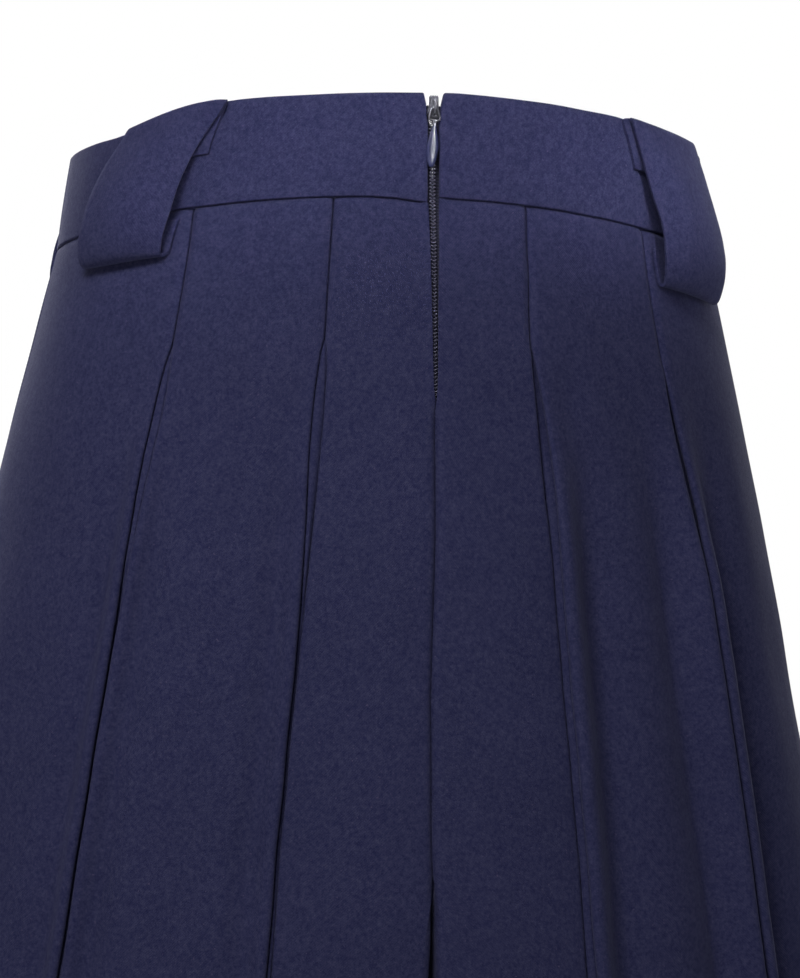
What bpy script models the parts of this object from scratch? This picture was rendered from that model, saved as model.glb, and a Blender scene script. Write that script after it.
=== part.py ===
"""Pleated skort: a divided skirt on a shaped waistband, zipped at the centre back.

Metres, +Z up. The wearer faces -Y, so the zip is at +Y and the wearer's left is +X.
The origin is the middle of the waist, level with the waistband's top edge at the centre back.
Every piece of cloth is placed by three numbers: an angle round the body from the centre back,
a level below the waist, and a distance outwards from the cloth's own mid surface.
"""

import math
from collections import namedtuple

import bmesh
import bpy
from mathutils import Matrix, Vector

# Cloth and seams
CLOTH = 0.0012
BAND_CLOTH = 0.0024
LOOP_CLOTH = 0.0013
SEAM_GAP = 0.0003
BAND_SEAM_EASE = 0.00022
BAND_STOPS = (0, 3.4, 7.0, 11.6, 17, 24, 32, 41, 50, 60, 70, 80, 90)

# Levels, measured down from the waist
WAIST, BAND_FOOT, SKIRT_TOP = 0.0, -0.0410, -0.0417
PLEAT_RELEASE = -0.096
ZIP_END = -0.120
RISE_START, CROTCH, HEM = -0.304, -0.334, -0.440

# Girth: half width, back depth and front depth of the body's section at each level
Section = namedtuple("Section", "level half_width back_depth front_depth")
WAIST_SECTION = Section(WAIST, 0.1270, 0.0993, 0.0960)
SKIRT_SECTIONS = (
    Section(BAND_FOOT, 0.1316, 0.1026, 0.1000),
    Section(-0.300, 0.1845, 0.1365, 0.1270),
    Section(HEM, 0.2070, 0.1520, 0.1400),
)

# How far the edges drop away from the level at the sides, the front and the wearer's left hip
SIDE_DROP_WAIST, SIDE_DROP_SEAM = 0.0058, 0.0086
FRONT_DROP = 0.0060
HIP_SAG, HIP_SAG_FROM, HIP_SAG_TO = 0.0055, 42.0, 66.0
ZIP_STEP, ZIP_STEP_REACH, ZIP_STEP_HEIGHT = 0.0020, 0.014, 0.016

# Pleats: angle of the middle of each inverted pleat, and how far its edges stand apart
Pleat = namedtuple("Pleat", "level inner_angle outer_angle lean gap_left gap_right")
PLEATS = (
    Pleat(BAND_FOOT, 16.7, 42.6, 0.1, 0.0004, 0.0004),
    Pleat(PLEAT_RELEASE, 16.3, 42.3, 0.6, 0.0005, 0.0005),
    Pleat(-0.125, 16.8, 42.8, 0.3, 0.0030, 0.0026),
    Pleat(-0.155, 17.1, 43.6, 0.1, 0.0034, 0.0032),
    Pleat(-0.200, 17.4, 44.0, 0.0, 0.0022, 0.0026),
    Pleat(-0.235, 17.8, 44.4, -0.1, 0.0012, 0.0022),
    Pleat(-0.300, 18.5, 44.8, 0.0, 0.0012, 0.0020),
    Pleat(HEM, 19.4, 45.6, 0.0, 0.0040, 0.0046),
)
FOLD_DEPTH_TOP, FOLD_DEPTH_HEM = 0.019, 0.024
LAYER = 0.0021
RIDGE_HEIGHT, RIDGE_AT, RIDGE_WIDTH = 0.0034, 0.005, 0.007
VALLEY_DEPTH, VALLEY_AT, VALLEY_WIDTH = 0.0030, 0.019, 0.010

# Legs: how far they part below the crotch
LEG_GAP_TOP, LEG_GAP_HEM = 0.0016, 0.012
CORNER_HEM = 0.013

# Belt loops: a strip folded over the band's top edge and caught below the seam
LoopEdge = namedtuple("LoopEdge", "level left right")
LOOP_FLAP_EDGE = (
    LoopEdge(-0.0010, 36.5, 38.0), LoopEdge(-0.0100, 38.3, 38.8), LoopEdge(-0.0215, 40.5, 40.4),
)
LOOP_EDGE = (
    LoopEdge(-0.0010, 36.5, 40.6), LoopEdge(-0.0155, 39.6, 40.5), LoopEdge(-0.0270, 41.9, 41.0),
    LoopEdge(-0.0360, 43.1, 41.8), LoopEdge(-0.0450, 43.9, 42.6), LoopEdge(-0.0550, 44.7, 43.3),
    LoopEdge(-0.0625, 45.6, 43.9),
)
LOOP_SPAN_TOP, LOOP_SPAN_FOOT = 22.5, 20.5
LOOP_STRETCH_LEFT, LOOP_STRETCH_RIGHT = 0.988, 1.012
LOOP_FLAP_LEFT, LOOP_FLAP_RIGHT = -0.0213, -0.0180
LoopPoint = namedtuple("LoopPoint", "level out")
LOOP_PATH = (
    LoopPoint(-0.0185, 0.00160), LoopPoint(-0.0100, 0.00160), LoopPoint(-0.0006, 0.00160),
    LoopPoint(0.0006, 0.00230), LoopPoint(0.0006, 0.00330), LoopPoint(-0.0012, 0.00420),
    LoopPoint(-0.0080, 0.00530), LoopPoint(-0.0160, 0.00680), LoopPoint(-0.0250, 0.00850),
    LoopPoint(-0.0350, 0.00990), LoopPoint(-0.0440, 0.01030), LoopPoint(-0.0520, 0.00920),
    LoopPoint(-0.0580, 0.00700), LoopPoint(-0.0615, 0.00500), LoopPoint(-0.0625, 0.00330),
    LoopPoint(-0.0622, 0.00210), LoopPoint(-0.0605, 0.00160), LoopPoint(-0.0545, 0.00160),
    LoopPoint(-0.0480, 0.00160),
)

# Zip at the centre back
ZipGap = namedtuple("ZipGap", "level half_gap")
ZIP_GAPS = (
    ZipGap(WAIST, 0.0042), ZipGap(-0.010, 0.0029), ZipGap(BAND_FOOT, 0.0024),
    ZipGap(-0.075, 0.0013), ZipGap(-0.105, 0.0005), ZipGap(ZIP_END, SEAM_GAP / 2),
)
CHAIN_HALF_WIDTH, CHAIN_DEPTH, CHAIN_OUT, CHAIN_TOP = 0.0017, 0.00175, -0.00185, -0.0112
TAPE_INNER, TAPE_OUTER, TAPE_DEPTH, TAPE_TOP = 0.0020, 0.0120, 0.0006, -0.0068
TAPE_OUT_BAND, TAPE_OUT_SKIRT = -0.00245, -0.00125
PIVOT_LEVEL, PIVOT_OUT = -0.0065, 0.00165

# Slider and pull: sizes across, up and outwards, and middles measured from the pull's axis
SLIDER_FLOOR = -PIVOT_OUT
BODY_SIZE, BODY_MIDDLE = (0.0044, 0.0088, 0.0026), (0, 0.0008, SLIDER_FLOOR - 0.0006)
POST_SIZE, POST_MIDDLE = (0.0020, 0.0070, 0.0030), (0, 0.0008, SLIDER_FLOOR - 0.0026)
PLATE_SIZE, PLATE_MIDDLE = (0.0044, 0.0058, 0.0013), (0, -0.0004, SLIDER_FLOOR - 0.0036)
BRIDGE_SIZE, BRIDGE_MIDDLE = (0.0010, 0.0056, 0.0036), (0, 0.0004, SLIDER_FLOOR + 0.0016)
BODY_NARROWING, BRIDGE_NARROWING = 0.80, 0.62
EYE_SIZE = (0.0040, 0.0026, 0.0016)
NECK_SIZE, NECK_MIDDLE = (0.0015, 0.0046, 0.0009), (0, -0.0063, 0)
TAB_LENGTH, TAB_HALF_WIDTH, TAB_HALF_DEPTH, TAB_TOP = 0.0163, 0.0022, 0.00074, -0.0066
EYE_WIRE = 0.00042
EYE_CORNERS = (
    (-0.00105, 0), (0.00105, 0), (0.00150, -0.0016), (0.00195, -0.0036), (0.00140, -0.0044),
    (-0.00140, -0.0044), (-0.00195, -0.0036), (-0.00150, -0.0016),
)

# Colours: base colour, roughness, metallic
NAVY_CLOTH = (0.034, 0.035, 0.085, 1.0)
NAVY_TAPE = (0.018, 0.019, 0.045, 1.0)
NAVY_ENAMEL = (0.060, 0.064, 0.130, 1.0)


def between(low, high, share):
    return low + (high - low) * share


def smooth(share):
    share = min(max(share, 0.0), 1.0)
    return share * share * (3 - 2 * share)


def column(rows, level, name):
    """The named column of a table, read between its rows at a level."""
    if level >= rows[0].level:
        return getattr(rows[0], name)
    for upper, lower in zip(rows, rows[1:]):
        if level >= lower.level:
            share = (level - upper.level) / (lower.level - upper.level)
            return between(getattr(upper, name), getattr(lower, name), share)
    return getattr(rows[-1], name)


def curve_through(rows, level, name):
    """The smooth curve through the three rows of a table."""
    total = 0.0
    for row in rows:
        share = getattr(row, name)
        for other in rows:
            if other is not row:
                share *= (level - other.level) / (row.level - other.level)
        total += share
    return total


def half_size(level, name):
    """Half width or depth of the body's section: straight down the band, then a hip curve."""
    if level > BAND_FOOT:
        share = (level - WAIST) / (BAND_FOOT - WAIST)
        return between(getattr(WAIST_SECTION, name), getattr(SKIRT_SECTIONS[0], name), share)
    return curve_through(SKIRT_SECTIONS, level, name)


def depth_at(angle, level):
    return half_size(level, "back_depth" if math.cos(angle) > 0 else "front_depth")


def girth_radius(angle, level):
    """Length of cloth for each radian of angle."""
    return math.hypot(half_size(level, "half_width") * math.cos(angle), depth_at(angle, level) * math.sin(angle))


def edge_drop(angle, level):
    """How far the cloth at this angle hangs below its level."""
    if level > BAND_FOOT:
        side = between(SIDE_DROP_WAIST, SIDE_DROP_SEAM, (level - WAIST) / (BAND_FOOT - WAIST))
        fade = 1.0
        sag_fade = between(1.0, 0.35, (level - WAIST) / (BAND_FOOT - WAIST))
    else:
        fade = 1 - (level - BAND_FOOT) / (HEM - BAND_FOOT)
        side = SIDE_DROP_SEAM * fade
        sag_fade = 0.35 * fade
    degrees = math.degrees(angle)
    onset = smooth((degrees - HIP_SAG_FROM) / (HIP_SAG_TO - HIP_SAG_FROM))
    release = 1 - smooth((degrees - 115) / 50)
    drop = side * math.sin(angle) ** 2 + FRONT_DROP * fade * (1 - math.cos(angle)) / 2
    return drop + HIP_SAG * sag_fade * onset * release


def place(angle, level, out):
    """The point at an angle from the centre back, a level and a distance outwards."""
    half_width, depth = half_size(level, "half_width"), depth_at(angle, level)
    normal = Vector((depth * math.sin(angle), half_width * math.cos(angle), 0)).normalized()
    base = Vector((half_width * math.sin(angle), depth * math.cos(angle), level - edge_drop(angle, level)))
    return base + normal * out


def zip_step(angle, level):
    """The left side of the zip sits a little lower than the right at the band's seam."""
    along = angle * girth_radius(0, level)
    if along < 0 or along > 3 * ZIP_STEP_REACH:
        return 0.0
    near = math.exp(-((along / ZIP_STEP_REACH) ** 2))
    return ZIP_STEP * near * math.exp(-(((level - BAND_FOOT) / ZIP_STEP_HEIGHT) ** 2))


def fabric(name, colour, roughness, metallic=0.0):
    material = bpy.data.materials.new(name)
    material.use_nodes = True
    shader = material.node_tree.nodes["Principled BSDF"]
    shader.inputs["Base Color"].default_value = colour
    shader.inputs["Roughness"].default_value = roughness
    shader.inputs["Metallic"].default_value = metallic
    material.diffuse_color = colour
    return material


def sheet_of(columns, rows, point, keep=lambda i, j: True):
    """A grid of cloth, columns by rows, whose corner (i, j) lies at point(i, j)."""
    sheet = bmesh.new()
    bmesh.ops.create_grid(sheet, x_segments=columns - 1, y_segments=rows - 1, size=1)
    sheet.verts.ensure_lookup_table()
    corners = {(n % columns, n // columns): vert for n, vert in enumerate(sheet.verts)}
    dropped = [vert for key, vert in corners.items() if not keep(*key)]
    for key, vert in corners.items():
        if keep(*key):
            vert.co = point(*key)
    bmesh.ops.delete(sheet, geom=dropped, context="VERTS")
    return sheet


def add_object(name, sheet, material, collection):
    mesh = bpy.data.meshes.new(name)
    sheet.to_mesh(mesh)
    sheet.free()
    mesh.materials.append(material)
    mesh.shade_smooth()
    mesh.set_sharp_from_angle(angle=math.radians(50))
    made = bpy.data.objects.new(name, mesh)
    collection.objects.link(made)
    return made


def add_wall(name, sheet, thickness, material, collection):
    """A closed wall of cloth on both sides of the sheet."""
    bmesh.ops.recalc_face_normals(sheet, faces=sheet.faces)
    wall = add_object(name, sheet, material, collection)
    solidify = wall.modifiers.new("Cloth", "SOLIDIFY")
    solidify.thickness = thickness
    solidify.offset = 0
    return wall


# Each quarter of the garment is one cut piece, read from its centre seam to its side seam


class Quarter:
    """One cut piece: front or back (face), wearer's left or right (side, +1 or -1)."""

    ROWS = (SKIRT_TOP, -0.068, PLEAT_RELEASE, -0.112, -0.135, -0.165, -0.200, -0.240, -0.278,
            RISE_START, -0.335, -0.368, -0.405, HEM)
    RISE_ROW = ROWS.index(RISE_START)
    PANEL_STOPS = (0.008, 0.018, 0.030)
    RISE_POINTS = 6

    def __init__(self, face, side):
        self.back = face == "back"
        self.side = side
        self.paths = [self.path(level) for level in self.ROWS]

    def centre_gap(self, level):
        """Half the gap at the centre seam: the zip, the closed seam, then the rounded leg corner."""
        if level < RISE_START:
            share = (level - RISE_START) / (HEM - RISE_START)
            return self.leg_gap(level) + CORNER_HEM * share
        if level == RISE_START:
            return LEG_GAP_TOP / 2
        return column(ZIP_GAPS, level, "half_gap") if self.back else SEAM_GAP / 2

    def leg_gap(self, level):
        """Distance from the middle to the inner leg's mid surface."""
        share = min(max((level - RISE_START) / (HEM - RISE_START), 0), 1)
        return between(LEG_GAP_TOP, LEG_GAP_HEM, share) / 2 + CLOTH * 0.1

    def pleats_at(self, level):
        lean = column(PLEATS, level, "lean") * (self.side if self.back else 0)
        inner = column(PLEATS, level, "inner_angle") + lean
        outer = column(PLEATS, level, "outer_angle")
        return [math.radians(inner), math.radians(outer)]

    def gap_at(self, level):
        return column(PLEATS, level, "gap_left" if self.side > 0 else "gap_right")

    def path(self, level):
        """The cloth's route round the body at one level, as (angle, out) pairs."""
        share = (level - BAND_FOOT) / (HEM - BAND_FOOT)
        depth = between(FOLD_DEPTH_TOP, FOLD_DEPTH_HEM, share)
        released = smooth((PLEAT_RELEASE - level) / 0.10)
        turn, edge = LAYER / 2, self.gap_at(level) / 2 + CLOTH / 2
        start = self.centre_gap(level) / half_size(level, "half_width")
        end = math.pi / 2 - SEAM_GAP / 2 / depth_at(0 if self.back else math.pi, level)
        pleats = self.pleats_at(level)

        def stack(along, pleat_number):
            """How far the folded layers stand out, by distance from the pleat's middle."""
            total = 0.0
            for side_of_pleat in ((1,) if pleat_number == 0 else (1, -1)):
                past = along * side_of_pleat
                total += RIDGE_HEIGHT * math.exp(-(((past - RIDGE_AT) / RIDGE_WIDTH) ** 2))
                total -= VALLEY_DEPTH * math.exp(-(((past - VALLEY_AT) / VALLEY_WIDTH) ** 2))
            return total * released

        # The route through one pleat: (distance from its middle, layers inwards)
        fold = [(-edge - turn, 0), (-edge, 0.5), (-edge - turn, 1), (-edge - depth * 0.5, 1),
                (-depth + turn, 1), (-depth, 1.5), (-depth + turn, 2), (-depth * 0.4, 2)]
        fold += [(-along, layers) for along, layers in reversed(fold)]

        route = [(start, 0.0)]
        for number, middle in enumerate(pleats):
            radius = girth_radius(middle, level)
            first = middle - (edge + turn) / radius
            before = route[-1][0]
            if number == 0:
                route += [(between(before, first, part), 0.0) for part in (0.20, 0.43, 0.72)]
            else:
                route += [(middle - (edge + turn + stop) / radius, stack(-edge - turn - stop, number))
                          for stop in reversed(self.PANEL_STOPS)]
            for along, layers in fold:
                route.append((middle + along / radius, stack(along, number) - LAYER * layers))
            route += [(middle + (edge + turn + stop) / radius, stack(edge + turn + stop, number))
                      for stop in self.PANEL_STOPS]
        last = route[-1][0]
        route += [(between(last, end, part), 0.0) for part in (0.33, 0.66, 1.0)]
        return route

    def skirt_point(self, i, j):
        angle, out = self.paths[j][i]
        level = self.ROWS[j]
        if not self.back:
            angle = math.pi - angle
        point = place(angle * self.side, level, out)
        if self.back:
            point.z -= zip_step(angle * self.side, level)
        return point

    def inner_leg_point(self, i, j):
        """The inner leg: from the rise seam down, running forward from the rounded corner."""
        corner = self.skirt_point(0, j)
        facing = 1 if self.back else -1
        top_y = abs(self.skirt_point(0, self.RISE_ROW).y)
        turn = math.radians(90) * (self.RISE_POINTS - i) / self.RISE_POINTS
        share = (self.ROWS[j] - RISE_START) / (HEM - RISE_START)
        seam_y = SEAM_GAP / 2 + (top_y - SEAM_GAP / 2) * math.cos(turn)
        seam_z = RISE_START - edge_drop(math.pi if not self.back else 0, RISE_START)
        seam_z -= (RISE_START - CROTCH) * math.sin(turn)
        if j == self.RISE_ROW:
            return Vector((self.side * (LEG_GAP_TOP / 2), facing * seam_y, seam_z))
        level = between(seam_z, self.skirt_point(0, len(self.ROWS) - 1).z, share)
        radius = CORNER_HEM * share
        bend = (self.RISE_POINTS - i) / self.RISE_POINTS
        reach = abs(corner.y)
        x = self.leg_gap(self.ROWS[j])
        if i == self.RISE_POINTS - 1:
            half_turn = math.radians(45)
            x += radius * (1 - math.cos(half_turn))
            y = reach - radius * (1 - math.sin(half_turn))
        else:
            y = between(reach - radius, SEAM_GAP / 2, (bend - 2 / self.RISE_POINTS) / (1 - 2 / self.RISE_POINTS))
        return Vector((self.side * x, facing * y, level))

    def build(self, name, material, collection):
        columns = len(self.paths[0]) + self.RISE_POINTS

        def point(i, j):
            if i < self.RISE_POINTS:
                return self.inner_leg_point(i, j)
            return self.skirt_point(i - self.RISE_POINTS, j)

        def keep(i, j):
            return i >= self.RISE_POINTS or j >= self.RISE_ROW

        sheet = sheet_of(columns, len(self.ROWS), point, keep)
        return add_wall(name, sheet, CLOTH, material, collection)


def waistband(name, stops, material, collection, zipped=0):
    """A stretch of band through angles in degrees; zipped is the side of its zip end."""
    levels = (WAIST, -0.010, -0.025, BAND_FOOT)
    out = (CLOTH - BAND_CLOTH) / 2
    seam = BAND_SEAM_EASE / 0.1
    toward_end = 1 if stops[-1] > stops[0] else -1

    def point(i, j):
        angle = math.radians(stops[i])
        if i == len(stops) - 1:
            angle -= toward_end * seam
        elif i == 0 and not zipped:
            angle += toward_end * seam
        if zipped:
            gap = column(ZIP_GAPS, levels[j], "half_gap") / half_size(levels[j], "half_width")
            angle += zipped * gap * max(1 - i / 3, 0)
        spot = place(angle, levels[j], out)
        if zipped:
            spot.z -= zip_step(angle, levels[j])
        return spot

    sheet = sheet_of(len(stops), len(levels), point)
    return add_wall(name, sheet, BAND_CLOTH, material, collection)


def belt_loop(name, back, side, material, collection):
    """One folded strip, from its stitched top end over the band and down to its turned-up foot."""
    across = 5
    stretch = LOOP_STRETCH_LEFT if side > 0 else LOOP_STRETCH_RIGHT
    flap_end = LOOP_FLAP_LEFT if side > 0 else LOOP_FLAP_RIGHT

    def point(i, j):
        level, out = LOOP_PATH[j]
        level = flap_end if j == 0 else level * stretch
        share = min(max(level / LOOP_PATH[14].level, 0), 1)
        edge = LOOP_FLAP_EDGE if j < 3 else LOOP_EDGE
        inner = column(edge, level, "left" if side > 0 else "right")
        span = between(LOOP_SPAN_TOP, LOOP_SPAN_FOOT, share)
        angle = math.radians(inner + span * i / (across - 1))
        if not back:
            angle = math.pi - angle
        return place(angle * side, level, out)

    sheet = sheet_of(across, len(LOOP_PATH), point)
    return add_wall(name, sheet, LOOP_CLOTH, material, collection)


def zip_strip(name, inner, outer, levels, out, depth, material, collection):
    """A flat strip along the zip, between two distances from the centre back."""

    def point(i, j):
        level = levels[j]
        spot = place(0, level, out(level))
        spot.x = between(inner, outer, i / 2)
        spot.y -= spot.x**2 / (2 * 0.16)
        return spot

    sheet = sheet_of(3, len(levels), point)
    return add_wall(name, sheet, depth, material, collection)


def block(size, centre):
    """A box of a size round a centre, as a bmesh; sizes across, up and outwards."""
    shape = bmesh.new()
    bmesh.ops.create_cube(shape, size=1)
    across, up, outwards = size
    shift = Vector((centre[0], centre[2], centre[1]))
    bmesh.ops.transform(shape, verts=shape.verts, matrix=Matrix.Diagonal((across, outwards, up, 1)))
    bmesh.ops.translate(shape, verts=shape.verts, vec=shift)
    return shape


def join_by_union(base, extras):
    """Cuts the extra solids into the base as one body."""
    for extra in extras:
        union = base.modifiers.new(extra.name, "BOOLEAN")
        union.operation = "UNION"
        union.object = extra
        extra.hide_render = True
        extra.display_type = "WIRE"


def pull_seat():
    """An empty on the pull's axis, leaning with the cloth of the band."""
    seat = bpy.data.objects.new("pull_axis", None)
    slope = (half_size(BAND_FOOT, "back_depth") - half_size(WAIST, "back_depth")) / (BAND_FOOT - WAIST)
    seat.location = place(0, PIVOT_LEVEL, PIVOT_OUT)
    seat.rotation_euler = (-math.atan(slope), 0, 0)
    bpy.context.scene.collection.objects.link(seat)
    return seat


def zip_slider(seat, material, collection, helpers):
    """Front plate, post and back plate that ride on the tapes, with a bridge for the pull.
    Sizes are across, up and outwards; centres are measured from the pull's axis."""
    body = block(BODY_SIZE, BODY_MIDDLE)
    for vert in body.verts:
        if vert.co.z > 0:
            vert.co.x *= BODY_NARROWING
    bmesh.ops.bevel(body, geom=body.edges[:], offset=0.0004, segments=2, profile=0.5, affect="EDGES")
    slider = add_object("zip_slider", body, material, collection)
    post = block(POST_SIZE, POST_MIDDLE)
    plate = block(PLATE_SIZE, PLATE_MIDDLE)
    bmesh.ops.bevel(plate, geom=plate.edges[:], offset=0.0003, segments=1, profile=0.5, affect="EDGES")
    bridge = block(BRIDGE_SIZE, BRIDGE_MIDDLE)
    for vert in bridge.verts:
        if vert.co.y > BRIDGE_MIDDLE[2]:
            vert.co.z = between(BRIDGE_MIDDLE[1], vert.co.z, BRIDGE_NARROWING)
    extras = [add_object("slider_post", post, material, helpers),
              add_object("slider_plate", plate, material, helpers),
              add_object("slider_bridge", bridge, material, helpers)]
    join_by_union(slider, extras)
    eye = block(EYE_SIZE, (0, 0, 0))
    cutter = add_object("slider_eye", eye, material, helpers)
    cutter.hide_render = True
    cutter.display_type = "WIRE"
    cut = slider.modifiers.new("Eye", "BOOLEAN")
    cut.operation = "DIFFERENCE"
    cut.object = cutter
    for piece in [slider, *extras, cutter]:
        piece.parent = seat
    return slider


def zip_pull(seat, material, collection, helpers):
    """A wire eye through the bridge, a short neck and a teardrop tab, as one moving piece."""
    curve = bpy.data.curves.new("pull_eye", "CURVE")
    curve.dimensions = "3D"
    curve.bevel_depth = EYE_WIRE
    curve.bevel_resolution = 1
    line = curve.splines.new("POLY")
    line.points.add(len(EYE_CORNERS) - 1)
    for spot, (x, z) in zip(line.points, EYE_CORNERS):
        spot.co = (x, 0, z, 1)
    line.use_cyclic_u = True
    ring_curve = bpy.data.objects.new("pull_eye_curve", curve)
    helpers.objects.link(ring_curve)
    bpy.context.view_layer.update()
    evaluated = ring_curve.evaluated_get(bpy.context.evaluated_depsgraph_get())
    ring_mesh = bpy.data.meshes.new_from_object(evaluated)
    ring = bmesh.new()
    ring.from_mesh(ring_mesh)
    bmesh.ops.remove_doubles(ring, verts=ring.verts, dist=0.00001)
    bpy.data.objects.remove(ring_curve)
    bpy.data.meshes.remove(ring_mesh)

    tab = bmesh.new()
    bmesh.ops.create_uvsphere(tab, u_segments=12, v_segments=10, radius=1)
    for vert in tab.verts:
        share = (1 - vert.co.z) / 2
        swell = math.sin(math.pi * share**1.15) ** 0.5 if 0 < share < 1 else 0
        round_x, round_y = Vector((vert.co.x, vert.co.y, 0)).normalized().xy if 0 < share < 1 else (0, 0)
        width = TAB_HALF_WIDTH * between(0.45, 1.0, math.sin(math.pi * min(share * 0.92, 1)) ** 1.4)
        vert.co = Vector((round_x * width * swell, round_y * TAB_HALF_DEPTH * swell, TAB_TOP - TAB_LENGTH * share))
    pull = add_object("zip_pull", tab, material, collection)
    neck = block(NECK_SIZE, NECK_MIDDLE)
    extras = [add_object("pull_ring", ring, material, helpers), add_object("pull_neck", neck, material, helpers)]
    join_by_union(pull, extras)
    for piece in [pull, *extras]:
        piece.parent = seat
    return pull


def main():
    for old in list(bpy.data.objects):
        bpy.data.objects.remove(old)
    skort = bpy.data.collections.new("Skort")
    helpers = bpy.data.collections.new("Cutters")
    for collection in (skort, helpers):
        bpy.context.scene.collection.children.link(collection)

    cloth = fabric("Navy suiting", NAVY_CLOTH, 0.85)
    tape = fabric("Zip tape", NAVY_TAPE, 0.9)
    enamel = fabric("Navy enamel", NAVY_ENAMEL, 0.35, 0.3)

    for face in ("back", "front"):
        for word, side in (("left", 1), ("right", -1)):
            Quarter(face, side).build(f"{face}_{word}", cloth, skort)
            belt_loop(f"belt_loop_{face}_{word}", face == "back", side, cloth, skort)
    for word, side in (("left", 1), ("right", -1)):
        waistband(f"waistband_back_{word}", [side * stop for stop in BAND_STOPS], cloth, skort, zipped=side)
    waistband("waistband_front", [90 + 180 * step / 18 for step in range(19)], cloth, skort)

    chain_levels = [CHAIN_TOP, -0.025, BAND_FOOT, -0.060, -0.080, -0.100, ZIP_END + 0.001]
    zip_strip("zip_chain", -CHAIN_HALF_WIDTH, CHAIN_HALF_WIDTH, chain_levels, lambda level: CHAIN_OUT,
              CHAIN_DEPTH, tape, skort)

    def tape_out(level):
        return between(TAPE_OUT_BAND, TAPE_OUT_SKIRT, smooth((BAND_FOOT - 0.003 - level) / 0.008))

    tape_levels = [TAPE_TOP, -0.020, BAND_FOOT - 0.003, -0.052, -0.070, -0.100, ZIP_END - 0.006]
    for word, side in (("left", 1), ("right", -1)):
        zip_strip(f"zip_tape_{word}", side * TAPE_INNER, side * TAPE_OUTER, tape_levels, tape_out,
                  TAPE_DEPTH, tape, skort)

    seat = pull_seat()
    zip_slider(seat, enamel, skort, helpers)
    zip_pull(seat, enamel, skort, helpers)


main()
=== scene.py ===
import math

import bmesh
import bpy
from mathutils import Matrix, Quaternion, Vector, noise


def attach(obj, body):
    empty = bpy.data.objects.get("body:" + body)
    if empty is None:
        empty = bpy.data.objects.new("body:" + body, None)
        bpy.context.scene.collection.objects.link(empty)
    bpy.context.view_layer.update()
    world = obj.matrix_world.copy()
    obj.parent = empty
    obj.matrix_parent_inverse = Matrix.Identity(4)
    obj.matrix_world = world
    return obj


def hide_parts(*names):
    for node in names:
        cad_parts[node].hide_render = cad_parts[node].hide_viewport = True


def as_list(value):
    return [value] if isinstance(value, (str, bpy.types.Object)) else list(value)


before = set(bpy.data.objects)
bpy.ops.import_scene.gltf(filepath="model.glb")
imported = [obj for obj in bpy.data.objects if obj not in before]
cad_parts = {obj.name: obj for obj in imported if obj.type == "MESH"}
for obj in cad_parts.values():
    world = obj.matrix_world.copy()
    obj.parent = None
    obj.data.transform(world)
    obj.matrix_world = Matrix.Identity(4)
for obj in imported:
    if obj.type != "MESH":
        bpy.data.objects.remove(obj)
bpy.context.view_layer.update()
scene = bpy.context.scene
print("frame loaded")

def inMetres(rows, angles=()):
    # rows in millimetres, apart from the columns that are angles
    return [[value if n in angles else value / 1000 for n, value in enumerate(row)] for row in rows]


# the figure's form: level, half width, back depth, front depth
bodyForm = {
    "waistRow": (0.0, 0.1270, 0.0993, 0.0960),
    "hipRows": (
        (-0.0410, 0.1316, 0.1026, 0.1000),
        (-0.3000, 0.1845, 0.1365, 0.1270),
        (-0.4400, 0.2070, 0.1520, 0.1400),
    ),
    # how much lower the side lies than the back, at the waist's edge and at the band's seam
    "sideDrop": (0.0058, 0.0086),
    "frontDrop": 0.0060,
    # its depth, the degrees at which it comes and goes with the run of each, and its share at the band's seam
    "hipSag": 0.0055,
    "sagComes": (42.0, 24.0),
    "sagGoes": (115.0, 50.0),
    "sagAtSeam": 0.35,
    # depth, reach along the seam and height of the step beside the zip
    "zipStep": (0.0020, 0.014, 0.016),
    # degrees from the centre back, how much lower the waist's edge lies there
    "edgeTrim": inMetres((
        (130, 0), (90, 3.6), (60, 3.6), (52, 3.1), (46, 2.6), (40, 1.8), (36, 1.2), (30, 1.2), (22, 1.1), (15, 0.8),
        (8, 0.5), (4, 0.3), (0, 0), (-4, -0.35), (-12, -0.1), (-25, 0), (-38, 0.1), (-44, 0.8), (-50, 1.2),
        (-60, 1.5), (-90, 1.4), (-130, 0),
    ), (0,)),
    # level, how far the centre back line wanders towards the wearer's left
    "centreSway": inMetres((
        (0, 0), (-12, 0.1), (-41, -0.2), (-60, -0.6), (-120, -0.8), (-170, -0.9), (-190, -0.4), (-210, 0.2),
        (-235, 1), (-260, 0.8), (-290, 0.7), (-304, 0),
    )),
    "swayReach": 0.045,
}
bandFoot = -0.0410
riseStart = -0.304
crotchLevel = -0.334
hemLevel = -0.440


def between(low, high, share):
    return low + (high - low) * share


def smoothShare(share):
    share = min(max(share, 0.0), 1.0)
    return share * share * (3 - 2 * share)


def bump(distance, width):
    return math.exp(-((distance / width) ** 2))


def rowAt(rows, level, eased=False):
    # rows run downwards and start with their level, which isn't in what comes back
    if level >= rows[0][0]:
        return rows[0][1:]
    for upper, lower in zip(rows, rows[1:]):
        if level >= lower[0]:
            share = (level - upper[0]) / (lower[0] - upper[0])
            share = smoothShare(share) if eased else share
            return [between(a, b, share) for a, b in zip(upper[1:], lower[1:])]
    return rows[-1][1:]


def lengthsAlong(points):
    found = [0.0]
    for before, after in zip(points, points[1:]):
        found.append(found[-1] + (after - before).length)
    return found


def sideWord(side):
    return "Left" if side > 0 else "Right"


def namesOf(back, side):
    # how a piece's name ends, and its solid's
    end = "Back" if back else "Front"
    return end + sideWord(side), f"{end}_{sideWord(side)}".lower()


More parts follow.
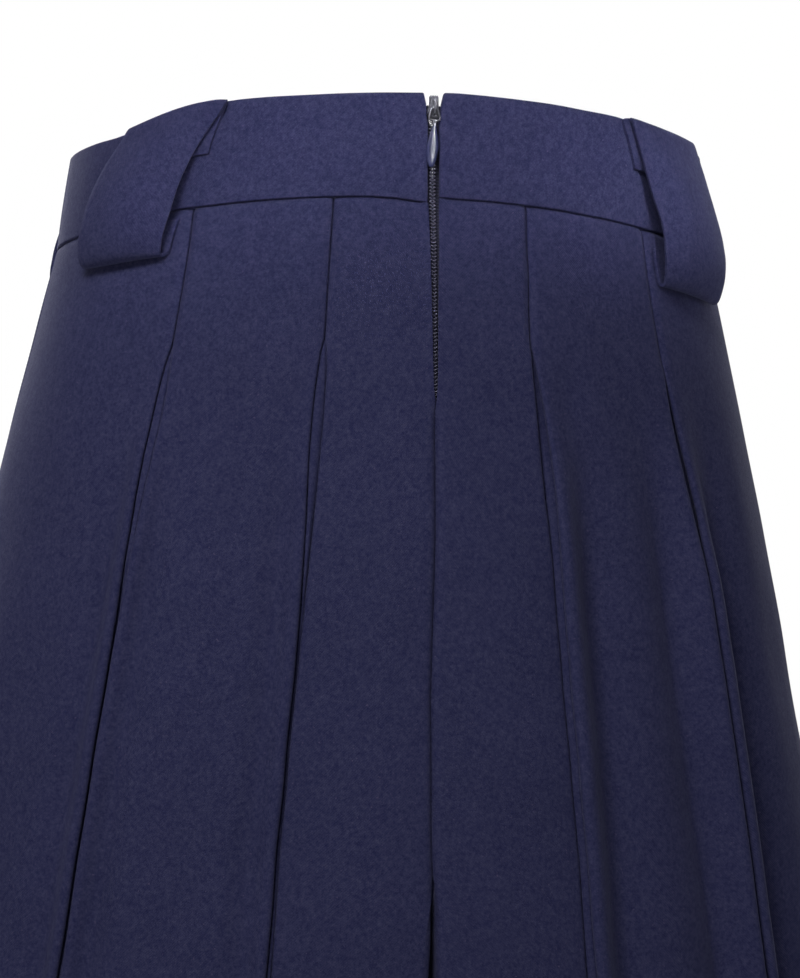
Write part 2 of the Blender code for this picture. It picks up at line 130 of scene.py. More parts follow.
def formSize(level, column):
    hipRows = bodyForm["hipRows"]
    if level > bandFoot:
        return between(bodyForm["waistRow"][column], hipRows[0][column], level / bandFoot)
    total = 0.0
    for row in hipRows:
        share = row[column]
        for other in hipRows:
            if other is not row:
                share *= (level - other[0]) / (row[0] - other[0])
        total += share
    return total


def depthAt(angle, level):
    return formSize(level, 2 if math.cos(angle) > 0 else 3)


def girthRadius(angle, level):
    return math.hypot(formSize(level, 1) * math.cos(angle), depthAt(angle, level) * math.sin(angle))


def edgeDrop(angle, level):
    form = bodyForm
    waistSide, seamSide = form["sideDrop"]
    if level > bandFoot:
        share = level / bandFoot
        side, fade, sagFade = between(waistSide, seamSide, share), 1.0, between(1.0, form["sagAtSeam"], share)
        trim = 1 - max(share, 0)
    else:
        fade = 1 - (level - bandFoot) / (hemLevel - bandFoot)
        side, sagFade, trim = seamSide * fade, form["sagAtSeam"] * fade, 0.0
    degrees = math.degrees(angle)
    drop = side * math.sin(angle) ** 2 + form["frontDrop"] * fade * (1 - math.cos(angle)) / 2
    if trim:
        drop += rowAt(form["edgeTrim"], degrees - 360 if degrees > 180 else degrees)[0] * trim
    comes, goes = (smoothShare((degrees - start) / run) for start, run in (form["sagComes"], form["sagGoes"]))
    return drop + form["hipSag"] * sagFade * comes * (1 - goes)


def placeOnForm(angle, level, out):
    # angle from the centre back, towards the wearer's left
    halfWidth, depth = formSize(level, 1), depthAt(angle, level)
    normal = Vector((depth * math.sin(angle), halfWidth * math.cos(angle), 0)).normalized()
    spot = Vector((halfWidth * math.sin(angle), depth * math.cos(angle), level - edgeDrop(angle, level)))
    return spot + normal * out


def zipStepAt(angle, level):
    step, reach, height = bodyForm["zipStep"]
    along = angle * formSize(level, 1)
    if along < 0 or along > 3 * reach:
        return 0.0
    return step * (bump(along, reach) * bump(level - bandFoot, height))


def centreSway(level, x):
    return rowAt(bodyForm["centreSway"], level)[0] * bump(x, bodyForm["swayReach"])


# materials

class NodeTree:
    def __init__(self, owner):
        owner.use_nodes = True
        self.nodes, self.links = owner.node_tree.nodes, owner.node_tree.links

    def feed(self, node, sources):
        # each socket takes a constant or another node's output
        for socket, source in sources.items():
            if isinstance(source, bpy.types.NodeSocket):
                self.links.new(source, node.inputs[socket])
            else:
                node.inputs[socket].default_value = source

    def add(self, kind, sources, **settings):
        made = self.nodes.new("ShaderNode" + kind)
        for key, value in settings.items():
            setattr(made, key, value)
        self.feed(made, sources)
        return made


class Look(NodeTree):
    def __init__(self, name):
        self.material = bpy.data.materials.new(name)
        super().__init__(self.material)
        self.shader = self.nodes["Principled BSDF"]
        self.place = self.add("TexCoord", {}).outputs["Object"]

    def noise(self, scale, detail, roughness):
        sources = {"Vector": self.place, "Scale": scale, "Detail": detail, "Roughness": roughness}
        return self.add("TexNoise", sources).outputs["Fac"]

    def ramp(self, source, stops):
        ramp = self.add("ValToRGB", {"Fac": source})
        while len(ramp.color_ramp.elements) < len(stops):
            ramp.color_ramp.elements.new(0.5)
        for element, (position, colour) in zip(ramp.color_ramp.elements, stops):
            element.position = position
            element.color = (*colour, 1)
        return ramp.outputs["Color"]

    def mix(self, mode, amount, first, second):
        return self.add("Mix", {0: amount, 6: first, 7: second}, data_type="RGBA", blend_type=mode).outputs[2]

    def finish(self, dents, strength, distance, sources):
        relief = self.add("Bump", {"Height": dents, "Strength": strength, "Distance": distance})
        self.feed(self.shader, {"Normal": relief.outputs["Normal"], **sources})
        return self.material


suitingLook = {
    # noise scale, detail and roughness, then the colours that it runs through; the first four are multiplied
    "mottle": ((620.0, 4.0, 0.65), ((0.33, (0.0225, 0.0245, 0.0760)), (0.5, (0.03325, 0.0350, 0.0910)),
                                    (0.68, (0.0440, 0.0455, 0.1060)))),
    "grain": ((1700.0, 2.0, 0.6), ((0.30, (0.77, 0.78, 0.86)), (0.5, (1, 1, 1)), (0.72, (1.27, 1.25, 1.12)))),
    "blotch": ((28.0, 3.0, 0.55), ((0.3, (0.95, 0.955, 0.96)), (0.7, (1.045, 1.04, 1.04)))),
    "slub": ((240.0, 2.0, 0.5), ((0.32, (0.91, 0.91, 0.95)), (0.68, (1.09, 1.085, 1.05)))),
    # sparse paler fibres
    "fibre": ((900.0, 1.0, 0.5), ((0.725, (0, 0, 0)), (0.79, (1, 1, 1)))),
    "fibreColour": (0.070, 0.062, 0.130, 1),
    # twill ribs on the cloth's own grain: scale, distortion and shades
    "ribs": (564.742026, 1.2, ((0.0, (0.965, 0.965, 0.970)), (1.0, (1.025, 1.025, 1.022)))),
    "relief": (0.30, 0.00018),
    "shader": {"Roughness": 0.86, "Specular IOR Level": 0.06, "Sheen Weight": 0.10, "Sheen Roughness": 0.45,
               "Sheen Tint": (0.55, 0.56, 0.90, 1)},
}


def makeSuiting(name):
    look, values, noises = Look(name), suitingLook, {}
    for layer in ("mottle", "grain", "blotch", "slub"):
        noises[layer] = look.noise(*values[layer][0])
        shade = look.ramp(noises[layer], values[layer][1])
        colour = shade if layer == "mottle" else look.mix("MULTIPLY", 1.0, colour, shade)
    fibre, speck = values["fibre"]
    colour = look.mix("MIX", look.ramp(look.noise(*fibre), speck), colour, values["fibreColour"])
    scale, distortion, shades = values["ribs"]
    grainLine = look.add("UVMap", {}, uv_map="UVMap").outputs["UV"]
    ribs = look.add("TexWave", {"Vector": grainLine, "Scale": scale, "Distortion": distortion},
                    bands_direction="DIAGONAL").outputs["Fac"]
    colour = look.mix("MULTIPLY", 1.0, colour, look.ramp(ribs, shades))
    height = look.add("Math", {0: noises["grain"], 1: ribs}, operation="ADD").outputs[0]
    return look.finish(height, *values["relief"], {"Base Color": colour, **values["shader"]})


def makeTape(name):
    look = Look(name)
    sources = {"Vector": look.place, "Scale": 260.0, "Distortion": 1.5, "Detail": 2.0}
    weave = look.add("TexWave", sources, bands_direction="Z").outputs["Fac"]
    colour = look.ramp(weave, ((0.0, (0.008, 0.008, 0.020)), (1.0, (0.022, 0.022, 0.050))))
    return look.finish(weave, 0.5, 0.0002, {"Base Color": colour, "Roughness": 0.9})


def makeGloss(name, dark, light, roughness, metallic=0.0, scale=900.0, relief=0.15, specular=0.5):
    # moulded coil or enamelled metal, slightly uneven
    look = Look(name)
    uneven = look.noise(scale, 3.0, 0.6)
    rough = look.add("MapRange", {"Value": uneven, "To Min": roughness * 0.8, "To Max": roughness * 1.25})
    sources = {"Base Color": look.ramp(uneven, ((0.3, dark), (0.7, light))), "Roughness": rough.outputs["Result"],
               "Metallic": metallic, "Specular IOR Level": specular}
    return look.finish(uneven, relief, 0.0001, sources)


suiting = makeSuiting("suitingCloth")
tapeLook = makeTape("zipTapeWeave")
coilLook = makeGloss("coilPlastic", (0.075, 0.073, 0.125), (0.160, 0.156, 0.230), 0.42)
enamelLook = makeGloss("navyEnamel", (0.026, 0.030, 0.086), (0.038, 0.044, 0.118), 0.22,
                       scale=500.0, relief=0.04, specular=0.27)
castLook = makeGloss("castMetal", (0.070, 0.069, 0.092), (0.270, 0.270, 0.320), 0.32,
                     metallic=0.70, scale=700.0, relief=0.3)
print("materials made")


# cloth pieces are grids placed point by point on the form, then given a thickness

def clothGrid(columns, rows, spotAt, keepAt=None):
    sheet = bmesh.new()
    bmesh.ops.create_grid(sheet, x_segments=columns - 1, y_segments=rows - 1, size=1)
    sheet.verts.ensure_lookup_table()
    uvLayer = sheet.loops.layers.uv.new("UVMap")
    corners, dropped = {}, []
    for n, vert in enumerate(sheet.verts):
        i, j = n % columns, n // columns
        if keepAt and not keepAt(i, j):
            dropped.append(vert)
        else:
            corners[vert] = spotAt(i, j)
    bmesh.ops.delete(sheet, geom=dropped, context="VERTS")
    for vert, (spot, _) in corners.items():
        vert.co = spot
    for face in sheet.faces:
        for loop in face.loops:
            loop[uvLayer].uv = corners[loop.vert][1]
    bmesh.ops.recalc_face_normals(sheet, faces=sheet.faces)
    return sheet


def addObject(name, shape, material):
    mesh = bpy.data.meshes.new(name)
    shape.to_mesh(mesh)
    shape.free()
    mesh.materials.append(material)
    made = bpy.data.objects.new(name, mesh)
    scene.collection.objects.link(made)
    return made


def finishPiece(name, shape, material, body, slotName, *replaced):
    made = addObject(name, shape, material)
    made.data.shade_smooth()
    if replaced:
        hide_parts(*replaced)
    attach(made, body)
    return made


def finishCloth(name, sheet, node, thickness, rounding, segments, look=suiting, slotName="suiting"):
    area = sum(face.calc_area() for face in sheet.faces)
    made = finishPiece(name, sheet, look, "garment", slotName, node)
    wall = made.modifiers.new("Cloth", "SOLIDIFY")
    wall.thickness = thickness
    wall.offset = 0
    edge = made.modifiers.new("Edge", "BEVEL")
    edge.width = rounding
    edge.segments = segments
    edge.limit_method = "ANGLE"
    edge.angle_limit = math.radians(55)
    print(name, "area", round(area, 5))
    return made


# the four cut pieces of the legs, front and back, left and right

legCut = {
    "thickness": 0.0009,
    "rounding": 0.00022,
    # the leg's share of the hem's thickness, the level of the hem's turned edge, and the run between them
    "hemShare": 0.60,
    "hemTurn": -0.410,
    "hemRun": 0.0016,
    "seamGap": 0.00012,
    "foldDepth": (0.019, 0.024),
    "levels": (
        -0.0412, -0.0418, -0.0427, -0.0440, -0.0465, *(-0.0510 - 0.0047 * step for step in range(10)),
        -0.0965, -0.0985, -0.1010, -0.1040, -0.1075, -0.1115, -0.1155, *(-0.1200 - 0.0060 * step for step in range(31)),
        *(riseStart - 0.0068 * step for step in range(16)),
        -0.4085, -0.4093, -0.4101, -0.4109, -0.4117, -0.4180, -0.4250, -0.4320, -0.4370, -0.4392, hemLevel,
    ),
    # the columns' distances from a seam and from a pleat, and their shares between these
    "fromSeam": (0, 0.0005, 0.0012, 0.0022, 0.0040),
    "fromPleat": (0.0006, 0.0014, 0.0024, 0.0042, 0.0070, 0.0105, 0.0145, 0.0190, 0.0240),
    "centreParts": (0.17, 0.34, 0.5, 0.67, 0.84, 1),
    "middleParts": (0.5,),
    "sideParts": (0.14, 0.28, 0.43, 0.57, 0.72, 0.86),
    # where the underlay shows: distance past the opening's edge, and the least from its middle
    "underlayColumns": ((0.0007, 0.0016), (-0.0002, 0.0011), (-0.0009, 0.0006)),
    # level, angles of the inner pleat and the outer one, lean of the inner one, opening left and right, layer left and right
    "pleats": inMetres((
        ( -41, 16.7, 42.6,  0.10,  0.3,  0.3,  1.2, 1.2),
        ( -60, 16.5, 42.2,  0.35,  0.3,  0.3,  1.2, 1.2),
        ( -96, 16.2, 42.2,  0.60, 0.35, 0.35,  1.2, 1.2),
        (-101, 16.3, 42.3,  0.56,  1.9,  0.9, 1.24, 1.3),
        (-108, 16.4, 42.5,  0.45,  3.2,  1.8,  1.3, 1.6),
        (-115, 16.6, 42.7,  0.36,  3.9,  2.5, 1.36, 1.9),
        (-125, 16.8, 42.9,  0.25,  4.3,  3.1, 1.42, 2.1),
        (-140, 17.0, 43.3,  0.17,  4.2,  3.5,  1.5, 2.2),
        (-155, 17.1, 43.6,  0.10,  3.5,  3.3,  1.6, 2.2),
        (-168, 17.2, 43.7,  0.03,  2.7,  2.2,  1.7, 2.2),
        (-180, 17.3, 43.9,  0.00,  2.2,  1.5,  1.8, 2.2),
        (-200, 17.4, 44.0,  0.00,  1.4, 1.25,  1.9, 2.2),
        (-220, 17.6, 44.2, -0.05,    1,  1.2,    2, 2.2),
        (-260, 18.1, 44.5, -0.06,    1,  1.2,  2.1, 2.2),
        (-300, 18.5, 44.8,  0.00,  1.2,  1.3,  2.1, 2.2),
        (-440, 19.4, 45.6,  0.00,  4.2,  4.8,  2.1, 2.2),
    ), (1, 2, 3)),
    # level, half the opening for the zip and then the centre seam
    "zipGap": inMetres((
        (0, 4), (-4.5, 2.95), (-8.8, 2.7), (-12.5, 2.1), (-20, 2.3), (-28, 2.4), (-41, 2.2), (-45.7, 2), (-77.5, 1.4),
        (-96, 1.1), (-111, 0.9), (-116, 0.7), (-120, 0.3), (-126, 0.1),
    )),
    "zipEnd": -0.121,
    "frontSeam": 0.00006,
    # swell on the left and right, the opening that shows all of it, and its shoulder and slope
    "underlaySwell": (1.50, 0.10),
    "underlayShown": 0.0024,
    "underlayEdge": (0.0009, 0.0011),
    # edges that roll in: depth and reach
    "pleatRoll": (0.00075, 0.00095),
    "seamRoll": (0.00100, 0.00125),
    "centreRoll": (0.00230, 0.00095),
    "waistRoll": (0.00110, 0.00120),
    # from the centre seam, where the seam under the band opens, and its run
    "waistOpens": (0.0010, 0.0022),
    # the pleats let go here; runs of the sewn edge's end, of the panels' swell and of the rolled edges
    "release": -0.096,
    "sewnEnd": (0.004, 0.010),
    "swellRun": 0.11,
    "rollRun": 0.10,
    "low": (-0.20, 0.24),
    # each panel's swell below the release and low down, and how peaked it is
    "panels": {"centre": (0.0006, 0.0022, 1), "middle": (0.0, 0.0010, 1), "side": (0.0, 0.0030, 2)},
    # beside each crease a bank: share of the depth, distance and width in crease widths
    "creaseBank": (0.45, 1.9, 1.1),
    # puckers that the waistband's seam draws in: depth, reach, waves a degree, and their unevenness
    "pucker": (0.00016, 0.010, 4.1, 1.7, 0.8),
    # slight unevenness everywhere: depth, scale across and down, run below the band, seeds back and front
    "uneven": (0.00055, 0.075, 26, 0.05),
    "seeds": (11.0, 27.0),
    # height or depth, distance from the pleat and width, on the wearer's left and right
    "ridge": ((0.0024, 0.0038, 0.0042), (0.0066, 0.0042, 0.0066)),
    "valley": ((0.0032, 0.0105, 0.0062), (0.0066, 0.0180, 0.0092)),
    "legGap": (0.0016, 0.012),
    "riseEase": 0.006,
    # inner leg: corner at the hem and its share of the piece, blend under the rise, and its slight sway
    "cornerHem": 0.013,
    "cornerPart": 0.18,
    "riseBlend": 0.12,
    "inseamSway": (0.0012, 38, -0.0008),
    "swayShift": (2.0, 0.4),
}

# creases laid one by one: degrees from the centre, then level, run, width and depth in millimetres, and slant
legCreases = {
    "BackLeft": (
        (9, -112, 50, 7, 0.35, 0.9), (21.5, -126, 40, 6, 0.55, -0.35), (27, -150, 90, 10, 0.6, -0.12),
        (33, -235, 120, 12, 0.8, 0.1), (52, -130, 80, 11, 0.7, 0.2), (60, -250, 150, 16, 1.6, 0.05),
        (74, -190, 100, 14, 1.1, -0.08), (10, -340, 110, 12, 0.9, 0.06), (30, -365, 140, 13, 1.5, 0.02),
        (83, -350, 120, 12, 1.4, 0.04),
    ),
    "BackRight": (
        (8, -106, 45, 6, 0.3, -0.8), (21, -118, 45, 6, 0.6, 0.3), (28.5, -170, 110, 11, 0.9, 0.1),
        (35, -260, 130, 12, 1.1, -0.06), (54, -140, 70, 10, 0.7, -0.18), (63, -230, 130, 15, 1.3, 0.08),
        (77, -280, 130, 15, 1.5, -0.05), (12, -355, 90, 11, 0.8, -0.08), (31, -385, 100, 12, 1.3, 0.04),
    ),
    "FrontLeft": (
        (8, -90, 60, 9, 0.4, 0.7), (22, -124, 45, 7, 0.6, -0.28), (29, -215, 120, 12, 1.1, 0.08),
        (54, -165, 100, 12, 1, 0.12), (66, -290, 150, 16, 1.6, -0.06), (9, -330, 120, 13, 1.1, 0.05),
        (31, -375, 110, 12, 1.4, -0.04), (80, -370, 120, 13, 1.3, 0.03),
    ),
    "FrontRight": (
        (10, -98, 50, 8, 0.35, -0.6), (21, -130, 50, 7, 0.55, 0.32), (30, -190, 100, 11, 0.9, -0.1),
        (34, -300, 140, 13, 1.3, 0.05), (57, -200, 120, 13, 1.2, -0.09), (71, -330, 140, 15, 1.7, 0.04),
        (11, -370, 100, 12, 1, 0.07),
    ),
}


def dip(name, distance, share=1.0):
    depth, reach = legCut[name]
    return -depth * share * bump(distance, reach)


class LegPiece:
    riseShares = (1.0, 0.9, 0.8, 0.7, 0.6, 0.5, 0.4, 0.3, 0.21, 0.15, 0.12, 0.09, 0.06, 0.03)
    roundStep = 5

    def __init__(self, back, side):
        self.back, self.side, self.which = back, side, 0 if side > 0 else 1
        self.word, self.node = namesOf(back, side)
        self.creases = [(math.radians(angle), *(size / 1000 for size in sizes), slant)
                        for angle, *sizes, slant in legCreases[self.word]]
        self.levels = sorted({round(level, 5) for level in legCut["levels"]}, reverse=True)
        self.riseRow = self.levels.index(riseStart)
        self.routes = [self.routeAt(level) for level in self.levels]

    def legGap(self, level):
        share = min(max((level - riseStart) / (hemLevel - riseStart), 0), 1)
        return between(*legCut["legGap"], share) / 2

    def centreGap(self, level):
        if level < riseStart:
            share = (level - riseStart) / (hemLevel - riseStart)
            return self.legGap(level) + legCut["cornerHem"] * share
        topGap, ease = legCut["legGap"][0] / 2, legCut["riseEase"]
        if level == riseStart:
            return topGap
        gap = rowAt(legCut["zipGap"], level)[0] if self.back else legCut["frontSeam"]
        return between(gap, topGap, smoothShare((riseStart + ease - level) / ease))

    def swell(self, angle, level, share, panel):
        # what the cloth does between its folds: share is how far across the panel
        cut = legCut
        degrees = math.degrees(angle)
        lowFrom, lowRun = cut["low"]
        released = smoothShare((cut["release"] - level) / cut["swellRun"])
        low = smoothShare((lowFrom - level) / lowRun)
        high, deep, peak = cut["panels"][panel]
        total = (high * released + deep * low) * math.sin(math.pi * share) ** peak
        bank, bankAt, bankWidth = cut["creaseBank"]
        for creaseAngle, creaseLevel, run, width, depth, slant in self.creases:
            down = level - creaseLevel
            across = (angle - creaseAngle) * formSize(level, 1) - slant * down
            if abs(down) > run or abs(across) > 4 * width:
                continue
            fade = math.cos(math.pi / 2 * down / run) ** 2
            total -= depth * fade * (bump(across, width) - bank * bump(across - bankAt * width, width * bankWidth))
        depth, reach, waves, wander, wanderWaves = cut["pucker"]
        pucker = bump(level - bandFoot, reach)
        total += depth * pucker * math.sin(degrees * waves + wander * math.sin(degrees * wanderWaves))
        seed = cut["seeds"][0 if self.back else 1]
        depth, scaleAcross, scaleDown, run = cut["uneven"]
        place = Vector((degrees * scaleAcross * self.side + seed, level * scaleDown, seed))
        return total + depth * noise.noise(place) * smoothShare((bandFoot - level) / run)

    def rolls(self, pleatNumber, past, level):
        # the released edge stands proud and the cloth beside it sinks
        released = smoothShare((legCut["release"] - level) / legCut["rollRun"])
        if released == 0 or pleatNumber == 0 and past < 0:
            return 0.0
        ridgeHeight, ridgeAt, ridgeWidth = legCut["ridge"][self.which]
        valleyDepth, valleyAt, valleyWidth = legCut["valley"][self.which]
        past = abs(past)
        return released * (ridgeHeight * bump(past - ridgeAt, ridgeWidth)
                           - valleyDepth * bump(past - valleyAt, valleyWidth))

    def foldHalf(self, edge, depth, layer, opening):
        # from the panel's edge to the middle of the underlay: distance from the middle, out
        r = layer / 2
        turns = [math.pi * step / self.roundStep for step in range(self.roundStep + 1)]
        spots = [(edge + r - r * math.sin(turn), -r + r * math.cos(turn)) for turn in turns]
        spots += [(between(edge + r, depth - r, share), -layer) for share in (0.2, 0.5, 0.8)]
        spots += [(depth - r + r * math.sin(turn), -1.5 * layer + r * math.cos(turn)) for turn in turns]
        spots += [((depth - r) * share, -2 * layer) for share in (0.66, 0.34)]
        return spots + [(max(opening / 2 + step, least), -2 * layer) for step, least in legCut["underlayColumns"]]

    def routeAt(self, level):
        cut = legCut
        inner, outer, lean, *rest = rowAt(cut["pleats"], level, True)
        opening, layer = rest[self.which], rest[2 + self.which]
        depth = between(*cut["foldDepth"], (level - bandFoot) / (hemLevel - bandFoot))
        edge = opening / 2 + cut["thickness"] / 2
        r = layer / 2
        lean *= self.side if self.back else 0
        middles = [math.radians(inner + lean), math.radians(outer)]
        start = self.centreGap(level) / formSize(level, 1)
        end = math.pi / 2 - cut["seamGap"] / 2 / depthAt(0 if self.back else math.pi, level)
        sewnPast, sewnRun = cut["sewnEnd"]
        sewn = 1 - smoothShare((cut["release"] + sewnPast - level) / sewnRun)
        lift = cut["pleatRoll"][0] * sewn
        zipped = self.back and level > cut["zipEnd"]
        shoulder, slope = cut["underlayEdge"]
        fromSeam, fromPleat = cut["fromSeam"], cut["fromPleat"]
        route = []

        def add(angle, out, panel, share):
            route.append((angle, out + self.swell(angle, level, share, panel)))

        # centre panel
        firstEdge = middles[0] - (edge + r) / girthRadius(middles[0], level)
        radius = formSize(level, 1)
        stops = [start + distance / radius for distance in fromSeam]
        stops += [between(stops[-1], firstEdge - fromSeam[-1] / radius, part) for part in cut["centreParts"]]
        stops += [firstEdge - distance / radius for distance in reversed(fromPleat[:3])]
        for angle in stops:
            seam = 0.0 if zipped or level < riseStart else dip("centreRoll", (angle - start) * radius)
            out = seam + dip("pleatRoll", (firstEdge - angle) * radius, sewn)
            add(angle, out, "centre", (angle - start) / (firstEdge - start))
        for number, middle in enumerate(middles):
            radius = girthRadius(middle, level)
            half = self.foldHalf(edge, depth, layer, opening)
            for along, out in [(-along, out) for along, out in half] + [(0.0, -2 * layer)] + list(reversed(half)):
                # the underlay swells between the edges where the pleat stands open
                ridge = 1 - smoothShare((abs(along) - opening / 2 + shoulder) / slope)
                show = ridge * smoothShare(opening / cut["underlayShown"]) * layer * cut["underlaySwell"][self.which]
                under = show if out < -1.9 * layer else 0.0
                flatOut = out + under + self.rolls(number, along, level) - lift * (1 if out > -layer else 0)
                route.append((middle + along / radius, flatOut + self.swell(middle, level, 0, "middle")))
            lastEdge = middle + (edge + r) / radius
            nextEdge = middles[1] - (edge + r) / girthRadius(middles[1], level) if number == 0 else end
            width = (nextEdge - lastEdge) * radius
            closing, parts = ((fromPleat, cut["middleParts"]), (fromSeam, cut["sideParts"]))[number]
            far = [width - distance for distance in reversed(closing)]
            distances = [*fromPleat, *(between(fromPleat[-1], far[0], part) for part in parts), *far]
            for distance in distances:
                angle = between(lastEdge, nextEdge, distance / width)
                out = self.rolls(number, edge + r + distance, level)
                out += dip("pleatRoll", distance, sewn)
                if number == 0:
                    out += self.rolls(1, edge + r + width - distance, level)
                    add(angle, out + dip("pleatRoll", width - distance, sewn), "middle", distance / width)
                else:
                    add(angle, out + dip("seamRoll", width - distance), "side", distance / width)
        return route

    def skirtSpot(self, i, j):
        angle, out = self.routes[j][i]
        level = self.levels[j]
        opensAt, opensRun = legCut["waistOpens"]
        fromEdge = angle * formSize(level, 1) - self.centreGap(level)
        # the seam under the band closes towards the zip
        closed = 1 - smoothShare((fromEdge - opensAt) / opensRun) if self.back else 0.0
        out += dip("waistRoll", level - self.levels[0]) * (1 - closed)
        if not self.back:
            angle = math.pi - angle
        spot = placeOnForm(angle * self.side, level, out)
        if self.back:
            spot.z -= zipStepAt(angle * self.side, level)
            spot.x += centreSway(level, spot.x)
        return spot

    def innerLegSpot(self, i, j):
        facing = 1 if self.back else -1
        part = self.riseShares[i]
        turn = math.radians(90) * part
        topY = abs(self.skirtSpot(0, self.riseRow).y)
        share = (self.levels[j] - riseStart) / (hemLevel - riseStart)
        seamZ = riseStart - edgeDrop(0 if self.back else math.pi, riseStart)
        seamZ -= (riseStart - crotchLevel) * math.sin(turn)
        seam = legCut["seamGap"] / 2
        riseY = seam + (topY - seam) * math.cos(turn)
        if j == self.riseRow:
            return Vector((self.side * legCut["legGap"][0] / 2, facing * riseY, seamZ))
        level = between(seamZ, self.skirtSpot(0, len(self.levels) - 1).z, share)
        radius = legCut["cornerHem"] * share
        x = self.legGap(self.levels[j])
        reach = abs(self.skirtSpot(0, j).y)
        cornerPart = legCut["cornerPart"]
        if part < cornerPart:
            bend = math.radians(90) * (1 - part / cornerPart)
            x += radius * (1 - math.cos(bend))
            y = reach - radius * (1 - math.sin(bend))
        else:
            y = between(reach - radius, seam, (part - cornerPart) / (1 - cornerPart))
        # drawn towards the rise curve near the top, so that no face folds on itself
        y = between(riseY, y, smoothShare(share / legCut["riseBlend"]))
        depth, waves, least = legCut["inseamSway"]
        sway = depth * share * math.sin(y * waves + legCut["swayShift"][self.which])
        return Vector((self.side * (x + max(sway, least)), facing * y, level))

    def spotOf(self, i, j):
        inner = len(self.riseShares)
        if i >= inner:
            return self.skirtSpot(i - inner, j)
        return self.innerLegSpot(i, j) if j >= self.riseRow else None

    def build(self):
        inner = len(self.riseShares)
        columns = len(self.routes[0]) + inner
        spots = [[self.spotOf(i, j) for i in range(columns)] for j in range(len(self.levels))]
        across = lengthsAlong(spots[len(spots) * 3 // 4])

        def spotAt(i, j):
            return spots[j][i], (across[i], self.levels[j])

        sheet = clothGrid(columns, len(self.levels), spotAt, lambda i, j: i >= inner or j >= self.riseRow)
        thick = sheet.verts.layers.deform.verify()
        hemShare = legCut["hemShare"]
        for vert in sheet.verts:
            share = smoothShare((legCut["hemTurn"] - vert.co.z) / legCut["hemRun"])
            vert[thick][0] = between(hemShare, 1, share)
        made = finishCloth(f"leg{self.word}", sheet, self.node, legCut["thickness"] / hemShare, legCut["rounding"], 1)
        made.vertex_groups.new(name="hem")
        made.modifiers["Cloth"].vertex_group = "hem"
        return made


legPieces = [LegPiece(back, side).build() for back in (True, False) for side in (1, -1)]


# the waistband

bandCut = {
    "thickness": 0.0024,
    "rounding": 0.0006,
    "out": -0.0006,
    "rows": (0.0, -0.0020, -0.0045, -0.0070, -0.0088, -0.0106, -0.0125, -0.0160, -0.0200, -0.0250, -0.0300, -0.0345,
             -0.0380, -0.0400, -0.0410),
    "seamEase": 0.0006,
    # columns in degrees from the zip, then the number of even ones up to the side; the front has even ones alone
    "zipStops": (0, 0.35, 0.9, 1.8, 3.2, 5.0, 7.0, 9.5),
    "evenStops": 32,
    "frontStops": 72,
    # full between its seam and its top fold, uneven across and at the edge, and puckers: depth, reach, waves
    "fullness": 0.00030,
    "uneven": 0.00050,
    "edgeUneven": 0.00025,
    "pucker": (0.00010, 0.006, 3.6),
    "metresPerRadian": 0.118,
}


def makeBand(word, node, zipped=0):
    # zipped is the side of the zip that the band ends on, or 0 for the front band
    values = bandCut
    rows, zipReach = values["rows"], values["zipStops"][-1]
    if zipped:
        count = values["evenStops"]
        stops = [zipped * stop for stop in values["zipStops"]]
        stops += [zipped * between(zipReach, 90, step / count) for step in range(1, count + 1)]
    else:
        count = values["frontStops"]
        stops = [between(90, 270, step / count) for step in range(count + 1)]

    def spotAt(i, j):
        angle, level = math.radians(stops[i]), rows[j]
        if i == len(stops) - 1:
            angle -= (zipped or 1) * values["seamEase"]
        elif i == 0 and not zipped:
            angle += values["seamEase"]
        if zipped:
            gap = rowAt(legCut["zipGap"], level)[0] / formSize(level, 1)
            angle += zipped * gap * max(1 - abs(stops[i]) / zipReach, 0)
        degrees = math.degrees(angle)
        depth, reach, waves = values["pucker"]
        out = values["out"] + values["fullness"] * math.sin(math.pi * min(level / bandFoot, 1))
        out += values["uneven"] * noise.noise(Vector((degrees * 0.09, level * 45, 3.0)))
        out += depth * bump(level - bandFoot, reach) * math.sin(degrees * waves)
        spot = placeOnForm(angle, level, out)
        spot.z += values["edgeUneven"] * noise.noise(Vector((degrees * 0.12, 8.0, 1.0)))
        if zipped:
            spot.z -= zipStepAt(angle, level)
            spot.x += centreSway(level, spot.x)
        return spot, (angle * values["metresPerRadian"], level)

    sheet = clothGrid(len(stops), len(rows), spotAt)
    return finishCloth(f"band{word}", sheet, f"waistband_{node}", values["thickness"], values["rounding"], 3)


bandPieces = [*(makeBand(*namesOf(True, side), side) for side in (1, -1)), makeBand("Front", "front")]


# belt loops: one strip over the band's top, bowed out, and turned under below the seam

